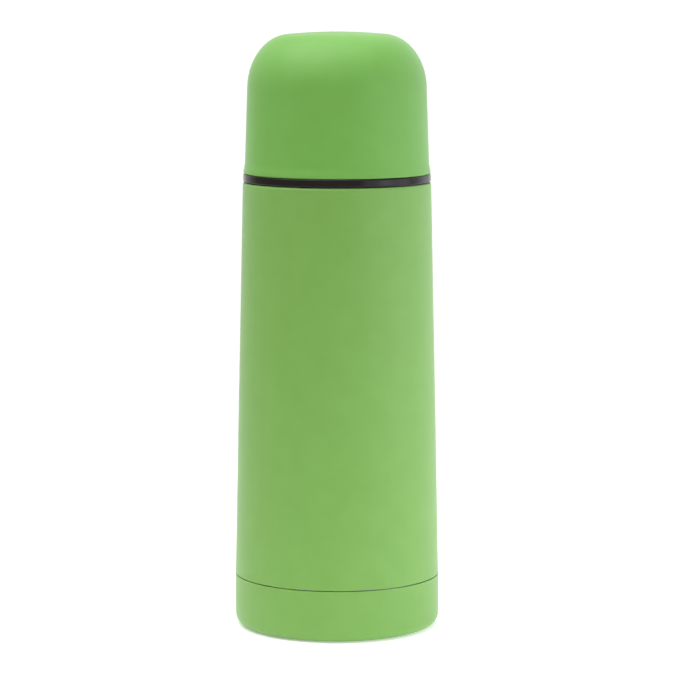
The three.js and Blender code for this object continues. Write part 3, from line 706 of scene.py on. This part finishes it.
CUP_TOP = high("cup_shell")
CUP_FOOT = low("cup_shell")
CUP_RIM = widest("cup_shell")
CUP_WAIST = (30.8 * MM, 156 * MM)
CUP_SHOULDER = (29.97 * MM, 181.1 * MM)
CORNER_WIDTH = 14.6 * MM
CROWN = 0.7 * MM  # how much the middle of the dome stands above its junction with the corner
JUNCTION = CUP_SHOULDER[0] - CORNER_WIDTH
EASE_REACH = 1.5 * MM  # at the junction, the dome's height is averaged this far to either side
EASE_WIDTH = 7 * MM  # this far from the junction, it isn't averaged any more
CUP_SHEET = 0.5 * MM


def corner_rise(sheet):
    """Height of the dome's corner, for the outer face or the inner one."""
    return CUP_TOP - CROWN - CUP_SHOULDER[1] - sheet


def crown_height(radius, sheet):
    """Height of the cup's dome over a radius, before its two curves are eased together."""
    if radius < JUNCTION:
        return CUP_TOP - CROWN * (radius / JUNCTION) ** 2 - sheet
    share = (radius - JUNCTION) / (CORNER_WIDTH - sheet)
    return CUP_SHOULDER[1] + corner_rise(sheet) * math.sqrt(max(0, 1 - share * share))


def dome(sheet):
    """Points from the cup's shoulder over its dome to the axis, for the outer face or the inner one."""
    points = arc((JUNCTION, CUP_SHOULDER[1]), (CORNER_WIDTH - sheet, corner_rise(sheet)), 0, 62, 26)
    first = points[-1][0]
    steps = 34
    samples = 8
    for i in range(1, steps + 1):
        radius = first * (1 - i / steps)
        reach = EASE_REACH * max(0.0, 1 - abs(radius - JUNCTION) / EASE_WIDTH)
        around = [abs(radius + reach * k / samples) for k in range(-samples, samples + 1)]
        heights = [crown_height(nearby, sheet) for nearby in around]
        points.append((radius, sum(heights) / len(heights)))
    return points


def cup_shell():
    """The domed shell of the cup, with a slight flare and a folded edge at its rim."""
    edge = 0.35 * MM
    outer = [
        (CUP_RIM - 2 * edge, CUP_FOOT),
        *arc((CUP_RIM - edge, CUP_FOOT + edge), (edge, edge), -90, 0, 8),
        *waist(0),
        *dome(0),
    ]
    inner = [*reversed(dome(CUP_SHEET)), *reversed(waist(CUP_SHEET)), (CUP_RIM - CUP_SHEET - edge, CUP_FOOT)]
    outline = filled(outer + inner, False)
    outline = [(max(radius, 0.0), height) for radius, height in outline]
    inside = outline.index(outer[-1]) + 1
    turned = revolve("cup_shell_fine", outline[inside:] + outline[:inside], False, 256)
    return bare_inside(place(turned, "cup_shell", CUP_GREEN), CUP_FOOT)


def waist(sheet):
    """The cup's wall from just above its rim to its shoulder, eased round the waist."""
    corners = [(CUP_RIM, CUP_FOOT + 0.8 * MM), CUP_WAIST, CUP_SHOULDER]
    wall = [(radius - sheet, height) for radius, height in corners]
    return rounded(wall, 3 * MM, closed=False, steps=10)[:-1]


def cup_liner():
    """The moulded inside of the cup with the cup's thread and the step for its seal ring."""
    sleeve, foot, top = 29.8 * MM, low("cup_liner"), high("cup_liner")
    bore, ledge = 28.6 * MM, 164.4 * MM
    wall = 1.4 * MM
    centre = (14 * MM, 181.5 * MM)
    width, rise = 13 * MM, 14 * MM
    before = [
        (0, top - wall),
        *arc(centre, (width, rise), 90, 0, 24),
        (27.7 * MM, ledge),
        (bore, ledge),
    ]
    after = [
        (bore, foot),
        (sleeve, foot),
        (sleeve, ledge),
        (29.1 * MM, ledge + wall),
        *arc(centre, (width + wall, rise + wall), 0, 90, 24),
        (0, top),
    ]
    return threaded(
        "cup_liner", BLACK, bore, 27.4 * MM, CUP_THREAD_START, INSIDE_ANGLE, before, after,
        closed=False, edge=0.25 * MM,
    )


cup_shell()
cup_liner()
turned_copy("cup_seal_ring", SILICONE, edge=0.3 * MM, segments=160)

# ---- the stopper -----------------------------------------------------------------------------

def stopper_body():
    """The threaded plug with its flow tube and the valve's port."""
    bottom, top = low("stopper_body"), high("stopper_body")
    wall, nose, port = 21.8 * MM, 20.3 * MM, 7.5 * MM
    thread_foot = 153.9 * MM
    return threaded(
        "stopper_body", BLACK, wall, 22.8 * MM, STOPPER_THREAD_START, OUTSIDE_ANGLE,
        [
            *millimetres((19, 166), (19, 148.2), (10.5, 148.2), (10.5, 166), (9, 166), (9, 148)),
            (port, 147.2 * MM),
            (port, bottom),
            (nose, bottom),
            (nose, thread_foot),
            (wall, thread_foot),
        ],
        [(wall, top)],
    )


def carved(piece, cutters):
    """Cuts closed objects out of the piece and removes them."""
    for cutter in cutters:
        modifier = piece.modifiers.new("cut", "BOOLEAN")
        modifier.object = cutter
        modifier.operation = "DIFFERENCE"
        modifier.solver = "EXACT"
    graph = bpy.context.evaluated_depsgraph_get()
    mesh = bpy.data.meshes.new_from_object(piece.evaluated_get(graph))
    piece.modifiers.clear()
    piece.data = mesh
    for cutter in cutters:
        bpy.data.objects.remove(cutter)
    return piece


def prism(name, outline, bottom, top, edge):
    """An outline in X and Y drawn up Z, its upright corners as they are and its rims rounded."""
    made = bmesh.new()
    heights = [(bottom, edge), (bottom + 0.3 * edge, 0.3 * edge), (bottom + edge, 0), (top - edge, 0),
               (top - 0.3 * edge, 0.3 * edge), (top, edge)]
    centre = sum((Vector(point) for point in outline), Vector((0, 0))) / len(outline)
    rings = []
    for height, inset in heights:
        ring = []
        for i, point in enumerate(outline):
            here = Vector(point)
            before = (here - Vector(outline[i - 1])).normalized()
            after = (Vector(outline[(i + 1) % len(outline)]) - here).normalized()
            across = Vector((before.y + after.y, -before.x - after.x))
            across = across.normalized() if across.length > 1e-9 else (here - centre).normalized()
            ring.append(made.verts.new((*(here - across * inset), height)))
        rings.append(ring)
    for lower, upper in zip(rings, rings[1:]):
        for i in range(len(outline)):
            following = (i + 1) % len(outline)
            made.faces.new((lower[i], lower[following], upper[following], upper[i]))
    made.faces.new(list(reversed(rings[0])))
    made.faces.new(rings[-1])
    return new_object(name, made)


# turns a block drawn up Z to run along this axis
UPRIGHT_TO = {
    "X": Matrix.Rotation(TURN / 4, 4, "Y"),
    "Y": Matrix.Rotation(TURN / 4, 4, "X"),
    "Z": Matrix.Identity(4),
}


def rounded_box(name, corner_low, corner_high, radius, axis, edge=0.02 * MM):
    """A block with rounded corners across an axis: X, Y or Z."""
    turn = UPRIGHT_TO[axis]
    back = turn.inverted()
    a, b = back @ Vector(corner_low), back @ Vector(corner_high)
    low_corner = Vector((min(a.x, b.x), min(a.y, b.y), min(a.z, b.z)))
    high_corner = Vector((max(a.x, b.x), max(a.y, b.y), max(a.z, b.z)))
    outline = []
    for x, y, start in (
        (high_corner.x - radius, low_corner.y + radius, -90),
        (high_corner.x - radius, high_corner.y - radius, 0),
        (low_corner.x + radius, high_corner.y - radius, 90),
        (low_corner.x + radius, low_corner.y + radius, 180),
    ):
        outline += arc((x, y), (radius, radius), start, start + 90, 8)
    block = prism(name, outline, low_corner.z, high_corner.z, edge)
    block.data.transform(turn)
    return block


CAP_RADIUS = 24.6 * MM
FLUTES = 20
FLUTE_DEPTH = 0.5 * MM
FLUTE_HALF_WIDTH = 1.15 * MM
FLUTE_FADE = 0.9 * MM  # height over which a flute's lower end fades in
GRIP_LOW = 166.6 * MM
GRIP_HIGH = 178.9 * MM
NO_GRIP = 0.9  # no flutes where a direction's share along the tabs' or the spout's axis is above this


def cap_grip(angle, radius, height):
    """Shallow upright flutes round the cap's wall, left out near the tabs and the pouring slot."""
    if radius < CAP_RADIUS - 0.3 * MM or not GRIP_LOW < height < GRIP_HIGH:
        return radius, height
    if abs(math.cos(angle)) > NO_GRIP or math.sin(angle) < -NO_GRIP:
        return radius, height
    nearest = (math.floor(angle / TURN * FLUTES) + 0.5) / FLUTES * TURN
    offset = (angle - nearest) * CAP_RADIUS / FLUTE_HALF_WIDTH
    fade = min(1.0, (height - GRIP_LOW) / FLUTE_FADE)
    depth = FLUTE_DEPTH * max(0.0, 1 - offset * offset) ** 1.5 * math.sqrt(max(0.0, fade))
    return radius - depth, height


def cap_opening(name, x, y, half_width, bottom, top, radius):
    """A block that cuts through the cap's wall at a place on the X or the Y axis."""
    reach = 3.4 * MM
    axis, half_x, half_y = ("X", reach, half_width) if x else ("Y", half_width, reach)
    return rounded_box(name, (x - half_x, y - half_y, bottom), (x + half_x, y + half_y, top), radius, axis)


def stopper_cap():
    """The cap that screws and pours: tab windows, pouring slot, vent, grip flutes and spring posts."""
    bottom, top = low("stopper_cap"), high("stopper_cap")
    outer, inner = CAP_RADIUS, 23 * MM
    hole, collar, collar_bottom = 11.1 * MM, 12.6 * MM, 173.4 * MM
    tube = 9.4 * MM
    skirt_inner, skirt_outer = 17.6 * MM, 18.8 * MM
    floor, plate, roof = 166.2 * MM, 167.4 * MM, 177.2 * MM
    wall_bottom = 165.6 * MM
    wall = [
        (inner, wall_bottom),
        (outer, wall_bottom),
        *[(outer, wall_bottom + (top - 1.2 * MM - wall_bottom) * k / 24) for k in range(1, 25)],
        (outer - 0.9 * MM, top),
        (hole, top),
        (hole, collar_bottom),
        (collar, collar_bottom),
        (collar, roof),
        (inner, roof),
        (inner, plate),
        (tube, plate),
        (tube, floor),
        (skirt_inner, floor),
        (skirt_inner, bottom),
        (skirt_outer, bottom),
        (skirt_outer, floor),
        (inner, floor),
    ]
    outline = filled(rounded(wall, 0.35 * MM, closed=True), True)
    cap = revolve("stopper_cap_fine", outline, True, 320, cap_grip)
    middle = (outer + inner) / 2
    cap = carved(cap, [
        cap_opening("window_left", -middle, 0, 6.2 * MM, 168 * MM, 174.8 * MM, 1 * MM),
        cap_opening("window_right", middle, 0, 6.2 * MM, 168 * MM, 174.8 * MM, 1 * MM),
        cap_opening("spout", 0, -middle, 6.5 * MM, 171.6 * MM, 176.6 * MM, 1.6 * MM),
        cap_opening("vent", 0, middle, 2.5 * MM, 171.6 * MM, 176.6 * MM, 1.6 * MM),
    ])
    posts = []
    for side in (-1, 1):
        inner_x, outer_x = side * 16 * MM, side * 17.5 * MM
        y = side * 3.6 * MM
        posts.append(rounded_box("post", (min(inner_x, outer_x), y - 1.9 * MM, plate - 0.5 * MM),
                                 (max(inner_x, outer_x), y + 1.9 * MM, 173 * MM), 0.4 * MM, "Z", 0.3 * MM))
    cap = joined(cap, posts)
    cap.data.set_sharp_from_angle(angle=math.radians(38))
    return place(cap, "stopper_cap", BLACK)


def joined(piece, others):
    """Adds the others' meshes to the piece and removes them."""
    made = bmesh.new()
    made.from_mesh(piece.data)
    for other in others:
        made.from_mesh(other.data)
        bpy.data.objects.remove(other)
    made.to_mesh(piece.data)
    made.free()
    for polygon in piece.data.polygons:
        polygon.use_smooth = True
    return piece


def stem_guide():
    """The spider that centres the valve's stem: rim, hub and three rounded spokes."""
    bottom, top = low("stem_guide"), high("stem_guide")
    outer, hub_bore, hub = 8.8 * MM, 2.5 * MM, 3.7 * MM

    def ring(name, inner, outer_radius):
        outline = [(inner, bottom), (outer_radius, bottom), (outer_radius, top), (inner, top)]
        return revolve(name, rounded(outline, 0.25 * MM, closed=True), True, 96)

    spokes = []
    for i in range(3):
        spoke = rounded_box("spoke", (hub - 0.4 * MM, -0.8 * MM, bottom + 0.05 * MM),
                            (outer - 0.5 * MM, 0.8 * MM, top - 0.05 * MM), 0.2 * MM, "Z", 0.25 * MM)
        spoke.data.transform(Matrix.Rotation(TURN * i / 3, 4, "Z"))
        spokes.append(spoke)
    rim = ring("stem_guide_fine", outer - 1 * MM, outer)
    return place(joined(rim, [ring("hub", hub_bore, hub), *spokes]), "stem_guide", GREY)


def button_o_ring():
    """A round rubber ring in the button's groove."""
    bottom, top = low("button_o_ring"), high("button_o_ring")
    section = (top - bottom) / 2
    centre = (10.38 * MM, (bottom + top) / 2)
    outline = arc(centre, (section, section), 0, 360, 24)[:-1]
    return place(revolve("button_o_ring_fine", outline, True, 160), "button_o_ring", SILICONE)


def button_spring():
    """The compression spring round the stem, standing on the guide."""
    bottom, top = low("button_spring"), high("button_spring")
    spring = place(coil("button_spring_fine", 5 * MM, 0.45 * MM, bottom, top, 6.6), "button_spring", WIRE)
    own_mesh(spring)
    return spring


def tab_spring(side):
    """A tab's spring: it lies along X between its post and the back of the finger pad."""
    node = "tab_spring_left" if side < 0 else "tab_spring_right"
    corner_low, corner_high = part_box(node)
    length = corner_high.x - corner_low.x
    spring = coil(node + "_fine", 1.3 * MM, 0.3 * MM, 0, length, 4.6, end_turns=0.7, steps_per_turn=40)
    root = corner_high.x if side < 0 else corner_low.x
    turn = Matrix.Rotation(math.radians(90 * side), 4, "Y")
    middle = (corner_low + corner_high) / 2
    spring.data.transform(Matrix.Translation((root, middle.y, 171.2 * MM)) @ turn)
    place(spring, node, WIRE)
    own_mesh(spring)
    return spring


def release_tab(side):
    """A squeeze tab: a ribbed finger pad, a sliding plate and the arm whose hook passes the stem."""
    node = "release_tab_left" if side < 0 else "release_tab_right"
    plate_low, plate_high = 169.8 * MM, 171.4 * MM
    corners = [(-24.4, -1.4), (-10, -1.4), (-10, 4), (3.6, 4), (3.6, -3), (5.6, -3), (5.6, 5.8), (-24.4, 5.8)]
    outline = rounded([(x * MM, y * MM) for x, y in corners], 0.5 * MM, closed=True, steps=5)
    plate = prism(node + "_fine", outline, plate_low, plate_high, 0.2 * MM)
    pad = finger_pad()
    tab = joined(plate, [pad])
    if side > 0:
        tab.data.transform(Matrix.Rotation(math.pi, 4, "Z"))
    tab.data.set_sharp_from_angle(angle=math.radians(50))
    return place(tab, node, GREY)


def round_over(room, edge):
    """How far a rounded edge draws a face back, this far from where the face ends."""
    if room >= edge:
        return 0.0
    return edge - math.sqrt(max(0.0, edge * edge - (edge - room) ** 2))


def finger_pad():
    """The left tab's pad: its face follows the cap's round wall and has four grip grooves."""
    made = bmesh.new()
    face, back, half = 26.2 * MM, 24.2 * MM, 5.8 * MM
    bottom, top = 168.4 * MM, 174.4 * MM
    edge = 0.45 * MM
    grooves, groove_depth = 4, 0.22 * MM
    plain_end, plain_side, side_fade = 0.9 * MM, 0.6 * MM, 0.5 * MM
    rows, columns = 60, 28
    rings = []
    for i in range(rows + 1):
        share = i / rows
        height = bottom + (top - bottom) * share
        from_end = min(height - bottom, top - height)
        inset = round_over(from_end, edge)
        groove = groove_depth * max(0.0, math.cos(TURN * grooves * (share - 0.5) + math.pi)) ** 2
        if from_end < plain_end:
            groove = 0.0
        ring = []
        across = half - inset
        for k in range(columns + 1):
            y = across * (2 * k / columns - 1)
            side_room = half - abs(y)
            depth = groove * min(1.0, max(0.0, (side_room - plain_side) / side_fade))
            x = math.sqrt((face - inset - depth) ** 2 - y * y) - round_over(side_room, edge)
            ring.append(made.verts.new((-x, -y, height)))
        ring.append(made.verts.new((-back, -across, height)))
        ring.append(made.verts.new((-back, across, height)))
        rings.append(ring)
    for lower, upper in zip(rings, rings[1:]):
        for k in range(len(lower)):
            following = (k + 1) % len(lower)
            made.faces.new((lower[k], lower[following], upper[following], upper[k]))
    made.faces.new(rings[0])
    made.faces.new(rings[-1])
    return new_object("pad", made)


stopper_body()
stopper_cap()
stem_guide()
turned_copy("stopper_foam", FOAM, edge=0.5 * MM, segments=96)
turned_copy("stopper_gasket", SILICONE, edge=0.35 * MM, segments=160)
turned_copy("push_button", GREY, edge=0.3 * MM, segments=128)
turned_copy("valve_stem", GREY, edge=0.2 * MM, segments=64)
turned_copy("valve_plate", GREY, edge=0.25 * MM, segments=96)
turned_copy("valve_seal", SILICONE, edge=0.25 * MM, segments=96)
button_o_ring()
button_spring()
for side in (-1, 1):
    release_tab(side)
    tab_spring(side)

# ---- floor, light and camera -----------------------------------------------------------------

TABLE_RADIUS = 0.42
TABLE_THICKNESS = 0.02
TABLE_DROP = 0.2 * MM  # how far the table's top lies below the foot
GLOW_CENTRE = (0.21, 0)
GLOW_REACH = 0.31
GLOW_STRENGTH = 0.95
GLOW_REST = 0.04


def table_top():
    """A round pale table, bright enough that its edge is lost in the white surround."""
    outline = [(0, -TABLE_THICKNESS), (TABLE_RADIUS, -TABLE_THICKNESS), (TABLE_RADIUS, 0), (0, 0)]
    floor = revolve("table_top", rounded(outline, 4 * MM, closed=False), False, 192)
    floor.location.z = -TABLE_DROP
    look = Look("pale_table", Roughness=0.9)
    mottle = look.noise(3, 2)
    look.set("Base Color", look.colours(mottle, (0.93, 0.93, 0.93), (0.95, 0.95, 0.95)))
    glow(look)
    floor.data.materials.append(look.material)
    return floor


def glow(look):
    """Makes the table give off light round a point beside the object, fading with distance."""
    offset = look.nodes.new("ShaderNodeVectorMath")
    offset.operation = "DISTANCE"
    offset.inputs[1].default_value = (*GLOW_CENTRE, 0)
    look.links.new(look.position, offset.inputs[0])
    look.shader.inputs["Emission Color"].default_value = (1, 1, 1, 1)
    fading = look.between(offset.outputs["Value"], GLOW_STRENGTH, GLOW_REST, 0, GLOW_REACH)
    look.set("Emission Strength", fading)


def softbox(name, location, target, width, height, watts, colour=(1, 1, 1)):
    """A rectangular area light aimed at a point."""
    data = bpy.data.lights.new(name, "AREA")
    data.shape = "RECTANGLE"
    data.size = width
    data.size_y = height
    data.energy = watts
    data.color = colour
    light = bpy.data.objects.new(name, data)
    light.location = location
    light.rotation_euler = (Vector(target) - Vector(location)).to_track_quat("-Z", "Y").to_euler()
    bpy.context.scene.collection.objects.link(light)
    return light


MIDDLE = (0, 0, 0.1)
FOOT = (0, 0, 0.04)
COLLAR = (0, 0, 0.15)
CUP_MIDDLE = (0, 0, 0.17)
COOL = (0.88, 0.9, 1.0)
table_top()
softbox("top_softbox", (0, -0.1, 1.2), MIDDLE, 1.2, 1.2, 11.6)
softbox("front_top_softbox", (0.05, -0.9, 1.0), CUP_MIDDLE, 0.7, 0.5, 1.7)
softbox("top_left_softbox", (-0.6, -0.2, 1.0), COLLAR, 0.9, 0.9, 8.3)
softbox("right_softbox", (1.0, -0.25, 0.3), MIDDLE, 0.9, 1.2, 2.75, COOL)
softbox("right_rim", (0.9, 0.55, 0.3), MIDDLE, 0.7, 1.2, 2.2, COOL)
softbox("right_low", (0.6, -0.15, 0.13), FOOT, 0.5, 0.24, 0.5, COOL)
softbox("right_low_front", (0.5, -0.45, 0.13), FOOT, 0.4, 0.24, 0.5, COOL)

WORLD_FILL = 0.1
BACKDROP_FILL = 1.3
BACKDROP_START = 0.4  # share of +Y in a direction at which the brighter side begins
WORLD_WHITE = 1.05  # strength the camera sees


def white_surround():
    """A world that is white to the camera and lights the object a little, more from behind it."""
    world = bpy.data.worlds.new("studio")
    world.use_nodes = True
    nodes, links = world.node_tree.nodes, world.node_tree.links
    dim = nodes["Background"]
    dim.inputs["Color"].default_value = (1, 1, 1, 1)
    direction = nodes.new("ShaderNodeSeparateXYZ")
    links.new(nodes.new("ShaderNodeTexCoord").outputs["Generated"], direction.inputs["Vector"])
    ramp = nodes.new("ShaderNodeMapRange")
    ramp.inputs["From Min"].default_value = BACKDROP_START
    ramp.inputs["To Min"].default_value = WORLD_FILL
    ramp.inputs["To Max"].default_value = BACKDROP_FILL
    links.new(direction.outputs["Y"], ramp.inputs["Value"])
    links.new(ramp.outputs["Result"], dim.inputs["Strength"])
    bright = nodes.new("ShaderNodeBackground")
    bright.inputs["Color"].default_value = (1, 1, 1, 1)
    bright.inputs["Strength"].default_value = WORLD_WHITE
    path = nodes.new("ShaderNodeLightPath")
    mix = nodes.new("ShaderNodeMixShader")
    links.new(path.outputs["Is Camera Ray"], mix.inputs["Fac"])
    links.new(dim.outputs["Background"], mix.inputs[1])
    links.new(bright.outputs["Background"], mix.inputs[2])
    links.new(mix.outputs["Shader"], nodes["World Output"].inputs["Surface"])
    return world


bpy.context.scene.world = white_surround()

CAMERA_PLACE = (0, -1.0024, 0.2205)
CAMERA_TARGET = (0, 0, 0.0976)
CAMERA_LENS = 160.1

camera_data = bpy.data.cameras.new("camera")
camera_data.lens = CAMERA_LENS
camera_data.sensor_width = 36
camera = bpy.data.objects.new("camera", camera_data)
camera.location = CAMERA_PLACE
camera.rotation_euler = (Vector(CAMERA_TARGET) - camera.location).to_track_quat("-Z", "Y").to_euler()
bpy.context.scene.collection.objects.link(camera)
bpy.context.scene.camera = camera
bpy.context.scene.view_settings.view_transform = "Standard"
